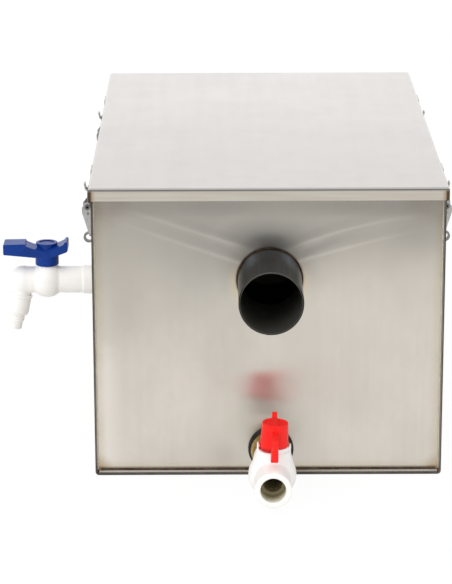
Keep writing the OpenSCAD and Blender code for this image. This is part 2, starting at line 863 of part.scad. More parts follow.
// Plastic nut inside the tank
module tap_locknut() {
    color(plastic_white) at_tap() translate([-sheet_t - nut_t, 0, 0]) rotate([0, 90, 0]) difference() {
        hexagon(nut_r, nut_t);
        translate([0, 0, -cut]) cylinder(r = thread_r, h = nut_t + 2 * cut);
    }
}

// Moulded tap body: threaded tail, collar, ball housing with a flat top, knuckle and spout
module tap_body() {
    color(plastic_white) difference() {
        union() {
            at_tap() {
                translate([-sheet_t - tap_tail, 0, 0])
                    rotate([0, 90, 0]) cylinder(r = thread_r, h = sheet_t + tap_tail + washer_t);
                translate([washer_t, 0, 0])
                    rotate([0, 90, 0]) cylinder(r = tap_collar_r, h = tap_collar_end - washer_t);
                translate([tap_collar_end, 0, 0])
                    rotate([0, 90, 0]) cylinder(r = tap_r, h = knuckle_out - tap_collar_end);
                translate([knuckle_out, 0, 0]) sphere(knuckle_r);
                intersection() {
                    translate([tap_reach, 0, 0]) sphere(tap_housing_r);
                    translate([0, -tap_housing_r, -tap_housing_r])
                        cube([2 * tap_reach, 2 * tap_housing_r, tap_housing_r + tap_flat]);
                }
            }
            at_tap_stem() cylinder(r = tap_boss_r, h = tap_flat);
            down_spout() cylinder(r = spout_r, h = spout_end);
        }
        at_tap() translate([-sheet_t - tap_tail - cut, 0, 0])
            rotate([0, 90, 0]) cylinder(r = tap_bore_r, h = knuckle_out + sheet_t + tap_tail + cut);
        down_spout() {
            sphere(bend_bore_r);
            cylinder(r = spout_bore_r, h = spout_end + cut);
        }
        at_tap_stem() {
            translate([-tap_seat_out - run_gap, 0, 0])
                rotate([0, 90, 0]) cylinder(r = tap_cavity_r, h = 2 * (tap_seat_out + run_gap));
            cylinder(r = tap_stem_r + run_gap, h = tap_flat + cut);
        }
    }
}

// Bored ball of the tap
module tap_ball() {
    color(plastic_white) at_tap_stem() difference() {
        sphere(tap_ball_r);
        translate([-tap_ball_r - cut, 0, 0])
            rotate([0, 90, 0]) cylinder(r = tap_bore_r, h = 2 * (tap_ball_r + cut));
        translate([-key_t / 2 - run_gap, -tap_ball_r, tap_ball_r - key_slot])
            cube([key_t + 2 * run_gap, 2 * tap_ball_r, key_slot + cut]);
    }
}

// Two sealing seats of the tap
module tap_seats() {
    color(seat_white) at_tap_stem() for (turn = [-90, 90]) rotate([0, turn, 0])
        ball_seat(tap_bore_r, tap_cavity_r - run_gap, tap_ball_r, tap_seat_in, tap_seat_out);
}

// Stem of the tap
module tap_stem() {
    color(plastic_white) at_tap_stem()
        valve_stem(
            tap_stem_r, tap_groove_r, tap_ball_r, tap_ring_z,
            tap_stem_round_top, tap_square, tap_stem_top, tap_key_l
        );
}

// Seal ring in the tap stem's groove
module tap_stem_ring() {
    color(rubber) at_tap_stem() translate([0, 0, tap_ring_z])
        rotate_extrude() translate([tap_groove_r + ring_r, 0]) circle(ring_r);
}

// Blue lever handle: hub, flared crown, long wing and short upturned wing
module tap_handle() {
    color(plastic_blue) at_tap_stem() difference() {
        union() {
            translate([0, 0, tap_flat + pass_gap])
                cylinder(r = tap_hub_r, h = tap_hub_top - tap_flat - pass_gap);
            translate([0, 0, tap_hub_top - tap_hub_lap])
                cylinder(r1 = tap_waist_r, r2 = tap_disc_r, h = tap_disc_top - tap_hub_top + tap_hub_lap);
            along_y(wing_w) polygon(wing_outline);
        }
        translate([-tap_square / 2 - run_gap, -tap_square / 2 - run_gap, 0])
            cube([tap_square + 2 * run_gap, tap_square + 2 * run_gap, tap_stem_top + pass_gap]);
        cylinder(r = tap_stem_r + pass_gap, h = tap_stem_round_top + pass_gap);
        translate([0, 0, tap_disc_top - tap_cap_t - tap_cap_sunk])
            cylinder(r = tap_cap_r + run_gap, h = tap_disc_top);
    }
}

// Plain disc that closes the handle's top
module tap_handle_cap() {
    color(plastic_blue) at_tap_stem() translate([0, 0, tap_disc_top - tap_cap_t - tap_cap_sunk])
        cylinder(r = tap_cap_r, h = tap_cap_t);
}

// Collar nut on the spout, with a lip at its upper end
module tap_spout_nut() {
    color(plastic_white) down_spout() translate([0, 0, spout_nut_start]) {
        ring(spout_nut_r, spout_r, spout_end - spout_nut_start);
        ring(spout_lip_r, spout_r, spout_lip_t);
    }
}

// Ribbed and stepped hose spigot held by the collar nut
module tap_nozzle() {
    color(plastic_white) down_spout() difference() {
        union() {
            translate([0, 0, spout_end]) cylinder(r = nozzle_flange_r, h = nozzle_flange_t);
            translate([0, 0, spout_end]) cylinder(r = nozzle_root_r, h = nozzle_step - spout_end);
            for (i = [1 : 3])
                translate([0, 0, spout_end + nozzle_rib_pitch * i])
                    cylinder(r = nozzle_rib_r, h = nozzle_rib_t);
            translate([0, 0, spout_end]) cylinder(r = spigot_r, h = nozzle_end - spout_end);
        }
        translate([0, 0, spout_end - cut]) cylinder(r = nozzle_bore_r, h = nozzle_end);
    }
}

shell();
outlet_panel();
inlet_panel();
outlet_pipe();
inlet_pipe();
lid();
lid_gasket();
outlet_baffle();
inlet_baffle();
outlet_elbow();
basket_rails();
strainer_basket();
basket_handle();
latch_base(front_left);  // latch_base_fl
latch_lever(front_left);  // latch_lever_fl
latch_bail(front_left);  // latch_bail_fl
latch_strike(front_left);  // latch_strike_fl
latch_base(front_right);  // latch_base_fr
latch_lever(front_right);  // latch_lever_fr
latch_bail(front_right);  // latch_bail_fr
latch_strike(front_right);  // latch_strike_fr
latch_base(rear_left);  // latch_base_rl
latch_lever(rear_left);  // latch_lever_rl
latch_bail(rear_left);  // latch_bail_rl
latch_strike(rear_left);  // latch_strike_rl
latch_base(rear_right);  // latch_base_rr
latch_lever(rear_right);  // latch_lever_rr
latch_bail(rear_right);  // latch_bail_rr
latch_strike(rear_right);  // latch_strike_rr
latch_rivets();
drain_washer();
drain_nipple();
drain_locknut();
drain_valve_body();
drain_ball();
drain_seats();
drain_stem();
drain_stem_ring();
drain_handle();
tap_washer();
tap_locknut();
tap_body();
tap_ball();
tap_seats();
tap_stem();
tap_stem_ring();
tap_handle();
tap_handle_cap();
tap_spout_nut();
tap_nozzle();
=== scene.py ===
# %% [markdown]
# # Dressing a stainless grease trap
#
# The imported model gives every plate, latch and valve in its place, in metres, with Z up and the outlet
# end towards -Y. This lesson loads it, sets up the camera and the light, writes a finish for each
# material, and adds the few things that a solid model leaves plain: rippled weld beads, the dents that
# welding pulled into the outlet plate, and the soft edges of moulded plastic.

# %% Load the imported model
import json
from math import cos, e, pi, radians, sin

import bpy
from mathutils import Matrix, Vector, noise


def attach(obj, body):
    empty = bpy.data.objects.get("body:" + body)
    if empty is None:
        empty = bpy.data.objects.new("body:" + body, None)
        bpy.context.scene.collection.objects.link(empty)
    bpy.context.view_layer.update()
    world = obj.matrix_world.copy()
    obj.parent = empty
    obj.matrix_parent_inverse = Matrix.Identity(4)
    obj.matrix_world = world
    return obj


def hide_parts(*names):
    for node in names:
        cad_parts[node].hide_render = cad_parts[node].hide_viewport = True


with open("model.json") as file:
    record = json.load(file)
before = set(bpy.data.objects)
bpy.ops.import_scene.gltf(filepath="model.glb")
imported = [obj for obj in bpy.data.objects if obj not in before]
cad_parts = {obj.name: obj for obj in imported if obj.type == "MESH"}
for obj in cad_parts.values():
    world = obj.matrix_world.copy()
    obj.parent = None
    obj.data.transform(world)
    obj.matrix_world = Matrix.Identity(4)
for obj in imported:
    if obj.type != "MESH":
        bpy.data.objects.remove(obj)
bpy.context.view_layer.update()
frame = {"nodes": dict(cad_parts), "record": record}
nodes = frame["nodes"]
scene = bpy.context.scene
MM = 0.001

# %% [markdown]
# ## The camera
#
# The trap is seen from its outlet end, a little from above and from the left, with a long lens, so the
# sides of the box hardly converge. One could aim a camera by eye, but here its place and its three
# angles were worked out from the corners of the lid and the box, so the numbers are written down.

# %% Make the camera
CAMERA_PLACE = Vector((-38.76, -2142.4, 731.84)) * MM
PITCH_DOWN, YAW_RIGHT, ROLL = radians(16.710), radians(0.148), radians(0.173)
FRAME_HEIGHT_MM, LENS_MM = 36.0, 155.9


def camera_turn():
    """Columns of the camera's turn: right, up and back."""
    ahead = Vector((sin(YAW_RIGHT) * cos(PITCH_DOWN), cos(YAW_RIGHT) * cos(PITCH_DOWN), -sin(PITCH_DOWN)))
    level = Vector((cos(YAW_RIGHT), -sin(YAW_RIGHT), 0))
    down = ahead.cross(level)
    right = cos(ROLL) * level + sin(ROLL) * down
    up = sin(ROLL) * level - cos(ROLL) * down
    return Matrix((right, up, -ahead)).transposed()


camera = bpy.data.objects.new("camera", bpy.data.cameras.new("camera"))
camera.data.sensor_fit = "VERTICAL"
camera.data.sensor_height = FRAME_HEIGHT_MM
camera.data.lens = LENS_MM
camera.data.clip_end = 50
camera.matrix_world = Matrix.Translation(CAMERA_PLACE) @ camera_turn().to_4x4()
scene.collection.objects.link(camera)
scene.camera = camera
scene.view_settings.view_transform = "Standard"
print("camera at", [round(v, 3) for v in camera.location], "lens", LENS_MM)

# %% [markdown]
# ## Writing shaders as sums
#
# A finish is a tree of nodes. Dragging wires is fine for one material, but a dozen finishes with masks
# and distances read better as sums. `Sock` wraps the output of a node and turns `+ - * /` into Math
# nodes. `Finish` owns one node tree, and its `node` method makes any other node.


# %% A socket that can be reckoned with
class Sock:
    """Output of a node, with Python's operators."""

    def __init__(self, finish, socket):
        self.finish, self.socket = finish, socket

    def math(self, operation, *values):
        return self.finish.node("Math", {"operation": operation}, dict(enumerate(values)))

    def __add__(self, other):
        return self.math("ADD", self, other)

    def __sub__(self, other):
        return self.math("SUBTRACT", self, other)

    def __rsub__(self, other):
        return self.math("SUBTRACT", other, self)

    def __mul__(self, other):
        return self.math("MULTIPLY", self, other)

    def __truediv__(self, other):
        return self.math("DIVIDE", self, other)

    def __pow__(self, other):
        return self.math("POWER", self, other)

    def __lt__(self, other):
        return self.math("LESS_THAN", self, other)

    def __gt__(self, other):
        return self.math("GREATER_THAN", self, other)

    def __abs__(self):
        return self.math("ABSOLUTE", self)

    __radd__ = __add__
    __rmul__ = __mul__


# %% A node tree with a few words of its own
class Finish:
    """Node tree of a material or of the world."""

    def __init__(self, owner):
        owner.use_nodes = True
        self.owner, self.tree = owner, owner.node_tree
        self.tree.nodes.clear()

    def node(self, kind, settings=None, values=None, out=0):
        """Any node: its settings first, then the values or links of its sockets."""
        made = self.tree.nodes.new("ShaderNode" + kind)
        for name, value in (settings or {}).items():
            setattr(made, name, value)
        for name, value in (values or {}).items():
            if isinstance(value, Sock):
                self.tree.links.new(value.socket, made.inputs[name])
            else:
                made.inputs[name].default_value = value
        return Sock(self, made.outputs[out]) if made.outputs else None

    def place(self):
        """Place on the object in millimetres: as a vector, and as x, y and z."""
        where = self.node("TexCoord", out="Object")
        where = self.node("VectorMath", {"operation": "SCALE"}, {0: where, "Scale": 1 / MM})
        split = self.node("SeparateXYZ", None, {0: where})
        outs = split.socket.node.outputs
        return where, Sock(self, outs[0]), Sock(self, outs[1]), Sock(self, outs[2])

    def noise(self, where, size, detail=2.0, rough=0.5):
        """Noise with grains of about the given sizes, in millimetres along x, y and z."""
        per = tuple(1 / s for s in size)
        where = self.node("VectorMath", {"operation": "MULTIPLY"}, {0: where, 1: per})
        values = {"Vector": where, "Scale": 1.0, "Detail": detail, "Roughness": rough}
        return self.node("TexNoise", None, values)

    def ease(self, value, start, end):
        """0 at start, 1 at end, smooth between and flat beyond."""
        ends = {"Value": value, "From Min": start, "From Max": end}
        return self.node("MapRange", {"interpolation_type": "SMOOTHSTEP"}, ends)

    def bell(self, off):
        """Bell curve: 1 in the middle, next to nothing two widths off it."""
        return off.math("POWER", e, 0 - off * off)

    def length(self, first, second):
        """Length of the slant side over two legs at right angles."""
        return (first * first + second * second) ** 0.5

    def patch(self, side, rise, middle_x, half_w, middle_z, half_h, depth):
        """Soft oval patch on an upright sheet."""
        return self.bell((side - middle_x) / half_w) * self.bell((rise - middle_z) / half_h) * depth

    def mix(self, share, first, second):
        """Colour that goes from first to second."""
        colours = [c if isinstance(c, Sock) else (*c, 1.0) for c in (first, second)]
        return self.node("Mix", {"data_type": "RGBA"}, {0: share, 6: colours[0], 7: colours[1]}, out=2)

    def bump(self, height_mm):
        """Normal of a surface raised by a height in millimetres."""
        return self.node("Bump", None, {"Height": height_mm, "Distance": MM})

    def cover(self, **values):
        """Principled shader on the surface; an underscore in a name stands for a space."""
        words = {name.replace("_", " "): value for name, value in values.items()}
        for name, value in words.items():
            if isinstance(value, tuple):
                words[name] = (*value, 1.0)
        return self.surface(self.node("BsdfPrincipled", None, words))

    def surface(self, shader, kind="OutputMaterial"):
        """Joins a shader to the output, and gives back the material or the world."""
        self.node(kind, None, {"Surface": shader})
        return self.owner


finishes = {}


def finish(name):
    """Starts a new material and keeps it by name."""
    material = bpy.data.materials.new(name)
    finishes[name] = material
    return Finish(material)


print("shader words ready")

# %% [markdown]
# ## Floor, backdrop and light
#
# Bare steel shows mostly what is round it, so the surroundings are half of its look. The trap stands on
# a white floor in a pale room: the floor is bright near the trap and falls off further away, the wall
# behind is white, and the room behind the camera is dim, apart from its side walls higher up. The camera
# sees plain white everywhere. The floor keeps a little of its own shading, so the trap still has its soft
# shadow. A painted picture of a room would do as well, but a few sums are easier to change.

# %% The room, as light from far away
# Light on matt things, then what bare steel mirrors
WALL_LIGHT, OVERHEAD_LIGHT = 1.08, 0.66
BACK_WALL, FRONT_ROOM, FRONT_WALL, CEILING = 1.24, 0.07, 0.6, 0.75
BACK_WALL_FALL, DOORWAY = 0.35, 0.2
room = Finish(bpy.data.worlds.new("pale_room"))
scene.world = room.owner
towards = room.node("TexCoord", out="Generated")
split = room.node("SeparateXYZ", None, {0: towards}).socket.node.outputs
aside, back, height = abs(Sock(room, split[0])), Sock(room, split[1]), Sock(room, split[2])
seen = room.ease(back, -0.4, 0.6) * (BACK_WALL - FRONT_ROOM) + FRONT_ROOM
seen = seen * (1 - BACK_WALL_FALL * room.ease(height, 0.15, 0.6))
beside_doorway = DOORWAY + (1 - DOORWAY) * room.ease(aside, 0.2, 0.5)
seen = seen.math("MAXIMUM", seen, FRONT_WALL * room.ease(height, 0.1, 0.28) * beside_doorway)
seen = seen.math("MAXIMUM", seen, CEILING * room.ease(height, 0.2, 0.8))


def light_path(tree):
    """Shares of camera rays and of rays that a mirror or a glass sends straight to the camera."""
    rays = tree.node("LightPath").socket.node.outputs
    words = ("Is Camera Ray", "Is Glossy Ray", "Is Transmission Ray", "Diffuse Depth")
    is_camera, is_glossy, is_through, matt_steps = (Sock(tree, rays[word]) for word in words)
    return is_camera, (1 - (1 - is_glossy) * (1 - is_through)) * (matt_steps < 0.5)


plain = WALL_LIGHT + (OVERHEAD_LIGHT - WALL_LIGHT) * room.ease(height, 0.15, 0.9)
is_camera, mirrored = light_path(room)
level = is_camera + (1 - is_camera) * (mirrored * seen + (1 - mirrored) * plain)
room.surface(room.node("Background", None, {"Color": (1, 1, 1, 1), "Strength": level}), "OutputWorld")
print("room from", FRONT_ROOM, "to", BACK_WALL)

# %% The floor
FLOOR_HALF, FLOOR_DROP = 4.0, 0.0002
POOL_NEAR, POOL_FAR, POOL_FALL = 450, 1900, 0.68
CAMERA_WHITE, PAPER_WHITE = 1.02, (0.86, 0.86, 0.86, 1)
floor_mesh = bpy.data.meshes.new("floor")
corners = [(x * FLOOR_HALF, y * FLOOR_HALF, 0) for x, y in ((-1, -1), (1, -1), (1, 1), (-1, 1))]
floor_mesh.from_pydata(corners, [], [(0, 1, 2, 3)])
floor = bpy.data.objects.new("floor", floor_mesh)
floor.location.z = -FLOOR_DROP
scene.collection.objects.link(floor)

paper = finish("floor_white")
where, x, y, z = paper.place()
away = paper.node("VectorMath", {"operation": "LENGTH"}, {0: where}, out="Value")
pool = 1 - POOL_FALL * paper.ease(away, POOL_NEAR, POOL_FAR)
is_camera, mirrored = light_path(paper)
white = is_camera * CAMERA_WHITE + (1 - is_camera) * pool
glow = paper.node("Emission", None, {"Color": white, "Strength": 1.0})
matt = paper.node("BsdfDiffuse", None, {"Color": PAPER_WHITE})
share = is_camera * 0.92 + mirrored * (1 - is_camera) * 0.8
paper.surface(paper.node("MixShader", None, {0: share, 1: matt, 2: glow}))
floor.data.materials.append(finishes["floor_white"])
print("floor", 2 * FLOOR_HALF, "m wide")


# %% Two soft lamps
def soft_lamp(name, place, aim, size, power):
    """Square lamp that lights matt things, and that steel doesn't mirror."""
    lamp = bpy.data.objects.new(name, bpy.data.lights.new(name, "AREA"))
    lamp.data.size, lamp.data.energy = size, power
    lamp.location = place
    lamp.rotation_euler = (Vector(aim) - Vector(place)).to_track_quat("-Z", "Y").to_euler()
    lamp.visible_glossy = False
    scene.collection.objects.link(lamp)


soft_lamp("lamp_above", (0.1, 0.1, 2.2), (0, 0, 0.1), 1.8, 14)
soft_lamp("lamp_front_left", (-1.3, -1.6, 1.7), (0, -0.1, 0.1), 1.4, 19)

# %% [markdown]
# ## Brushed steel for the tank
#
# The plates are stainless sheet brushed upright. Fine upright scratches spread a reflection sideways, so
# the shader is anisotropic, and a faint upright grain shows close up. Welding leaves straw and brown
# beside each seam and gold round the tube. Each tint could be painted by hand; here it is reckoned from
# the distance to its seam, so it fits wherever the seam is. Above the tube lies a dark painted reflection
# of the tube, with painted shade in a band between the creases, and the top of the outlet plate is
# painted darker as painted shade. Soft darker ovals lie on the plate; the one beside the drain is a
# painted shadow and a painted reflection of the valve. The plate is paler towards its lower left edge. The
# outlet
# plate also bows a little: too slightly to see as a shape, but it turns what the plate mirrors, so it is a
# bump.

# %% Shared steel words
STEEL_LIGHT, STEEL_DULL = (0.708, 0.659, 0.592), (0.638, 0.594, 0.532)
STRAW, GOLD = (0.60, 0.53, 0.39), (0.80, 0.68, 0.49)
BURNT, RUST, CUT_EDGE = (0.17, 0.105, 0.06), (0.40, 0.25, 0.12), (0.045, 0.04, 0.035)
# Millimetres: the plates' seams and the tubes' axes
PLATE_HALF_W, PLATE_FOOT, RIM = 138.8, 2.4, 235.8
OUTLET_X, OUTLET_Z, INLET_Z, PIPE_R = 1.0, 163.0, 180.0, 25.4


def upright_grain(steel, where):
    """Fine upright scratches."""
    return steel.noise(where, (0.7, 0.7, 70), detail=3)


def cloudy(steel, where, light, dull, size=60):
    """Steel colour with soft cloudy patches and faint upright streaks."""
    clouds = steel.noise(where, (size, size, size * 1.6), detail=2)
    streaks = steel.noise(where, (5, 5, 240), detail=2)
    return steel.mix(steel.ease(clouds * 0.8 + streaks * 0.2, 0.32, 0.68), light, dull)


# %% Tints of the outlet plate
MOTTLED, UPPER_PAINTED_SHADE, PALE_LEFT_EDGE = (0.615, 0.582, 0.515), (0.685, 0.64, 0.565), (0.78, 0.735, 0.675)
TUBE_REFLECTION_DARK, OVAL_DARK = (0.315, 0.315, 0.297), (0.46, 0.43, 0.385)
# Each patch: middle and half width, middle and half height, depth. The painted reflection is measured from
# the tube's axis.
REFLECTION_PATCHES = ((-5, 38, 36.5, 12.5, 0.68), (-50, 36, 26, 42, 0.27))
# Darker ovals; the one at x -35, z 12 beside the drain is a painted shadow and a painted reflection of the
# valve
DARK_OVALS = (
    (-114, 14, 138, 34, 0.3),
    (-75, 65, 125, 38, 0.22),
    (-35, 16, 12, 15, 0.5),
    (116, 17, 203, 20, 0.3),
    (-36, 20, 86, 22, 0.25),
)
print("patches:", len(REFLECTION_PATCHES), "of smoke,", len(DARK_OVALS), "dull")

# %% Masks of the end plates
steel = finish("plate_steel")
where, x, y, z = steel.place()
front = y < 0
across = x - OUTLET_X * front
up = z - (INLET_Z + (OUTLET_Z - INLET_Z) * front)
from_pipe = steel.length(across, up) - PIPE_R
from_side = PLATE_HALF_W - abs(x)
from_foot = z - PLATE_FOOT
patchy = steel.noise(where, (14, 14, 14), detail=3)
seam = from_side.math("MINIMUM", from_side, from_foot)
straw = steel.ease(seam, 10, 2) * (0.2 + 0.5 * patchy)
gold = steel.ease(from_pipe, 10, 2) * steel.ease(up, 24, -4) * (0.3 + 0.7 * patchy)
low_corner = steel.length(from_side, from_foot)
top_corner = steel.length(from_side, RIM - z)
rust = steel.ease(low_corner, 16, 2) * (0.3 + 0.7 * patchy)
brown = steel.ease(top_corner, 40, 4) * 0.34 * (0.4 + patchy)
brown = brown.math("MAXIMUM", brown, steel.ease(from_pipe, 2.8, 1.4) * 0.4 * (0.4 + patchy))
mottle = steel.noise(where, (6, 6, 9), detail=3)
# Paler towards the lower left edge of the outlet plate
pale_left_edge = steel.ease(x, -112, -134) * steel.ease(z + 40 * patchy, 152, 102) * front
run = abs(across)
# Painted shade in a band between the creases, and a painted reflection of the tube in the patches above it
painted_reflection = steel.bell((up - 12.5 - 0.38 * run) / 5.5) * steel.ease(run, 20, 32) * steel.ease(run, 85, 40)
painted_reflection = painted_reflection * 0.3
for patch in REFLECTION_PATCHES:
    painted_reflection = painted_reflection.math("MAXIMUM", painted_reflection, steel.patch(across, up, *patch))
dull = 0
for patch in DARK_OVALS:
    dull = dull + steel.patch(x, z, *patch)
print("masks of the plates:", len(steel.tree.nodes), "nodes")

# %% Colour of the end plates
colour = cloudy(steel, where, STEEL_LIGHT, STEEL_DULL)
colour = steel.mix(steel.ease(mottle, 0.32, 0.68) * 0.22, colour, MOTTLED)
# Painted shade: the outlet plate is made darker towards its top
colour = steel.mix(steel.ease(z, 90, 220) * 0.8 * front, colour, UPPER_PAINTED_SHADE)
colour = steel.mix(pale_left_edge, colour, PALE_LEFT_EDGE)
# Painted reflection of the tube and painted shade between the creases
colour = steel.mix(painted_reflection * front, colour, TUBE_REFLECTION_DARK)
# Darker ovals, with a painted shadow and reflection of the valve beside the drain
colour = steel.mix(dull * front, colour, OVAL_DARK)
colour = steel.mix(gold, steel.mix(straw, colour, STRAW), GOLD)
colour = steel.mix(brown, steel.mix(rust, colour, RUST), BURNT)
print("colour of the plates:", len(steel.tree.nodes), "nodes")

# %% Bow of the outlet plate, and the whole finish
# The upper part leans back, from lower down on the left than on the right
LEAN, LEAN_TOP, LEAN_START, LEAN_RISE, LEAN_LEFT = 0.043, 200.0, 88, 0.55, -95.0
DRAIN_PULL, GRAIN_HEIGHT = 0.06, 0.002
lean_from = LEAN_START + LEAN_RISE * x.math("MAXIMUM", x, LEAN_LEFT)
span = LEAN_TOP - lean_from
part = ((z - lean_from) / span).math("MAXIMUM", (z - lean_from) / span, 0.0)
part = part.math("MINIMUM", part, 1.0)
above = (z - LEAN_TOP).math("MAXIMUM", z - LEAN_TOP, 0.0)
lean = LEAN * (span * (part ** 3 - 0.5 * part ** 4) + above) * front
drain_pull = DRAIN_PULL * x * steel.bell((x + 5) / 40) * steel.bell((z - 75) / 38) * front
height = upright_grain(steel, where) * GRAIN_HEIGHT - lean - drain_pull
steel.cover(
    Base_Color=colour,
    Metallic=1.0,
    Roughness=0.2 + 0.08 * patchy,
    Anisotropic=0.85,
    Normal=steel.bump(height),
)
print("plate finish:", len(steel.tree.nodes), "nodes")

# %% [markdown]
# ## The folded shell
#
# Both walls and the bottom are one sheet, with its lower ends turned back as a hem. It is the same brushed
# steel, with straw beside the welds and dark cut edges. The hem's top carries a painted highlight, pale
# and less metallic, standing for the white floor that it mirrors. Separate materials would need the sheet
# cut up, so one finish picks each zone by its place.

# %% Finish of the folded shell
SHELL_END, SEAM_Y, HEM_FROM_Y = 220.0, 213.0, 215.5
HEM_LOW, HEM_HIGH, HEM_TOP_HIGHLIGHT = 2.2, 2.6, (0.86, 0.82, 0.76)
steel = finish("shell_steel")
where, x, y, z = steel.place()
patchy = steel.noise(where, (14, 14, 14), detail=3)
from_seam = abs(abs(y) - SEAM_Y)
straw = steel.ease(from_seam, 12, 1) * (0.2 + 0.5 * patchy)
cut_edge = abs(y) > SHELL_END - 0.25
cut_edge = cut_edge.math("MAXIMUM", cut_edge, z > RIM - 0.2)
colour = steel.mix(straw, cloudy(steel, where, STEEL_LIGHT, STEEL_DULL), STRAW)
hem = (z > HEM_LOW) * (z < HEM_HIGH) * (abs(y) > HEM_FROM_Y)
# Painted highlight on the hem's top
colour = steel.mix(hem, colour, HEM_TOP_HIGHLIGHT)
colour = steel.mix(cut_edge * (0.8 + 0.2 * patchy), colour, CUT_EDGE)
waves = steel.noise(where, (90, 90, 90), detail=1)
steel.cover(
    Base_Color=colour,
    Metallic=1.0 - 0.4 * cut_edge - 0.6 * hem,
    Roughness=0.28 + 0.1 * patchy + 0.25 * cut_edge,
    Anisotropic=0.8,
    Normal=steel.bump(upright_grain(steel, where) * 0.003 + waves * 0.3),
)
print("shell finish:", len(steel.tree.nodes), "nodes")

# %% [markdown]
# ## The lid
#
# The lid is brushed along its length and a little duller towards the outlet. Its skirt is folded down, so
# the scratches there run level, and it is painted paler and warmer than the top, as painted light from the
# floor that it mirrors. The bend shows as a thin dark line, a painted reflection of the dim room. The
# corners are welded, which leaves them brown, and black right at the edge, where the black is also painted
# shade standing for a rounded corner. A bevel alone wouldn't give the bend's line at this size, so it is a
# narrow band of colour.

# %% Finish of the lid
LID_LIGHT, LID_DULL, LID_OUTLET_END = (0.80, 0.772, 0.748), (0.742, 0.714, 0.69), (0.63, 0.607, 0.579)
SKIRT_LIGHT, SKIRT_DULL, BEND_REFLECTION_DARK = (0.93, 0.875, 0.76), (0.87, 0.79, 0.665), (0.22, 0.205, 0.185)
CORNER_BROWN, CORNER_BLACK = (0.50, 0.34, 0.19), (0.10, 0.07, 0.045)
LID_HALF_W, LID_HALF_D, LID_TOP, BEND_DOWN = 142.0, 222.0, 240.0, 1.75
steel = finish("lid_steel")
where, x, y, z = steel.place()
patchy = steel.noise(where, (16, 16, 8), detail=3)
corner = steel.length(LID_HALF_W - abs(x), LID_HALF_D - abs(y))
side = steel.ease(z, LID_TOP - 1.0, LID_TOP - 3.5)
brown = steel.ease(corner, 6.5, 2) * side * (0.5 + 0.6 * patchy)
burnt = steel.ease(corner, 3.2, 2.0) * side * 0.9
grain = steel.noise(where, (0.8, 60, 8), detail=3)
streaks = steel.noise(where, (9, 260, 60), detail=2)
clouds = steel.noise(where, (110, 70, 40), detail=2)
colour = steel.mix(steel.ease(streaks * 0.35 + clouds * 0.65, 0.3, 0.7), LID_LIGHT, LID_DULL)
# Darker towards the outlet end
colour = steel.mix(steel.ease(y, 260, -230) * 0.6, colour, LID_OUTLET_END)
bands = steel.noise(where, (70, 70, 2.2), detail=2)
# Painted light: the skirt is painted paler and warmer than the top, for the floor it mirrors
skirt = steel.mix(steel.ease(bands, 0.35, 0.65), SKIRT_LIGHT, SKIRT_DULL)
colour = steel.mix(side * 0.85, colour, skirt)
# Painted reflection: a thin dark line along the bend
bend = steel.bell((z - (LID_TOP - BEND_DOWN)) / 0.6)
colour = steel.mix(bend * 0.55, colour, BEND_REFLECTION_DARK)
colour = steel.mix(brown, colour, CORNER_BROWN)
# Weld burn at the corner's edge, darkened further as painted shade for a rounded corner
colour = steel.mix(burnt, colour, CORNER_BLACK)
waves = steel.noise(where, (120, 160, 60), detail=1)
steel.cover(
    Base_Color=colour,
    Metallic=1.0,
    Roughness=0.31 + 0.1 * patchy,
    Normal=steel.bump(grain * 0.004 + waves * 0.45),
)
print("lid finish:", len(steel.tree.nodes), "nodes")

# %% [markdown]
# ## The tubes
#
# Both stubs are drawn tube, darker than the sheet and scratched along their length. The weld's heat ran
# up the tube: burnt brown at the plate, then patches of blue. Both shoulders carry blue painted
# highlights, with a black painted reflection along the crown between them. The mouth's edge is lighter
# towards the top, and the inside is painted dark as painted shade.

# %% Finish of the tubes
TUBE_LIGHT, TUBE_DULL, TUBE_SHADY = (0.275, 0.28, 0.283), (0.20, 0.205, 0.211), (0.14, 0.14, 0.135)
HEAT_BLUE, SHOULDER_HIGHLIGHT, CROWN_REFLECTION = (0.40, 0.47, 0.56), (0.52, 0.59, 0.70), (0.085, 0.085, 0.082)
TUBE_BURNT, TUBE_INSIDE_SHADE = (0.15, 0.085, 0.045), (0.095, 0.092, 0.078)
RIM_DARK, RIM_TOP, TUBE_MOUTH = (0.035, 0.035, 0.033), (0.125, 0.122, 0.112), 279.5
steel = finish("tube_steel")
where, x, y, z = steel.place()
patchy = steel.noise(where, (10, 10, 10), detail=3)
burnt = steel.ease(abs(y), 219.5, 214.5) * (0.5 + 0.6 * patchy)
rim = abs(y) > TUBE_MOUTH - 0.3
axis_z = INLET_Z + (OUTLET_Z - INLET_Z) * (y < 0)
across = x - OUTLET_X * (y < 0)
up = z - axis_z
inside = steel.length(across, up) < PIPE_R - 0.9
scratches = steel.noise(where, (3, 60, 3), detail=3)
colour = steel.mix(steel.ease(scratches, 0.35, 0.65), TUBE_LIGHT, TUBE_DULL)
colour = steel.mix(steel.ease(across, 4, -24) * 0.75, colour, TUBE_SHADY)
blue = steel.ease(abs(y), 246, 224) * steel.ease(patchy, 0.4, 0.65)
colour = steel.mix(blue * 0.7, colour, HEAT_BLUE)
# Painted reflection: the crown is darkened along the whole tube
crown = steel.bell(across / 11) * steel.ease(up, 8, 20)
colour = steel.mix(crown * 0.6, colour, CROWN_REFLECTION)
# Painted highlight: blue on both shoulders near the plate
shoulder = steel.bell((abs(across) - 15) / 4.5) * steel.ease(abs(y), 258, 228) * steel.ease(up, 4, 14)
colour = steel.mix(shoulder * 0.8, colour, SHOULDER_HIGHLIGHT)
colour = steel.mix(burnt, colour, TUBE_BURNT)
# Rim lighter towards the top
colour = steel.mix(rim, colour, steel.mix(steel.ease(up, 4, 25), RIM_DARK, RIM_TOP))
# Painted shade inside the tube
colour = steel.mix(inside, colour, TUBE_INSIDE_SHADE)
steel.cover(
    Base_Color=colour,
    Metallic=1.0 - 0.6 * inside,
    Roughness=0.285 + 0.1 * patchy + 0.2 * burnt + 0.2 * inside,
    Normal=steel.bump(scratches * 0.006),
)
print("tube finish:", len(steel.tree.nodes), "nodes")
